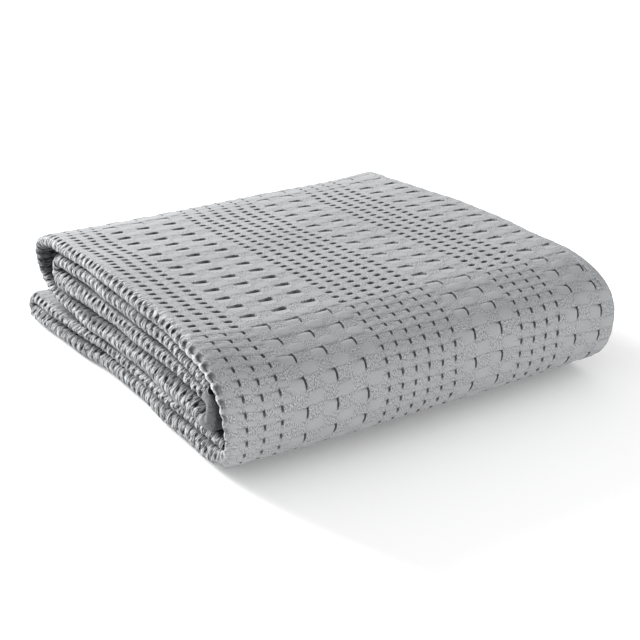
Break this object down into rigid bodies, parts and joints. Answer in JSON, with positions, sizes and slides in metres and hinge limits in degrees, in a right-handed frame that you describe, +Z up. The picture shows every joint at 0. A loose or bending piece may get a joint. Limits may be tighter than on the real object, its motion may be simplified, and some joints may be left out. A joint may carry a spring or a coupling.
{
  "type": "folded pique blanket",
  "caption": "Woven cotton blanket folded into a flat pack, with one large round front fold, stacked fold edges at one end and bands of small and large pocket cells.",
  "frame": {"origin": "on the surface that the pack lies on, under the middle of its outline", "axes": "+X along the large round fold, away from the end that shows the stacked fold edges; +Y from the round fold to the back; +Z up"},
  "size_m": [0.445, 0.447, 0.1162],
  "materials": {
    "cotton": "matt mid-grey woven cotton in a pocketed checker weave"
  },
  "bodies": {
    "root": {"blanket": "cotton"}
  },
  "joints": []
}
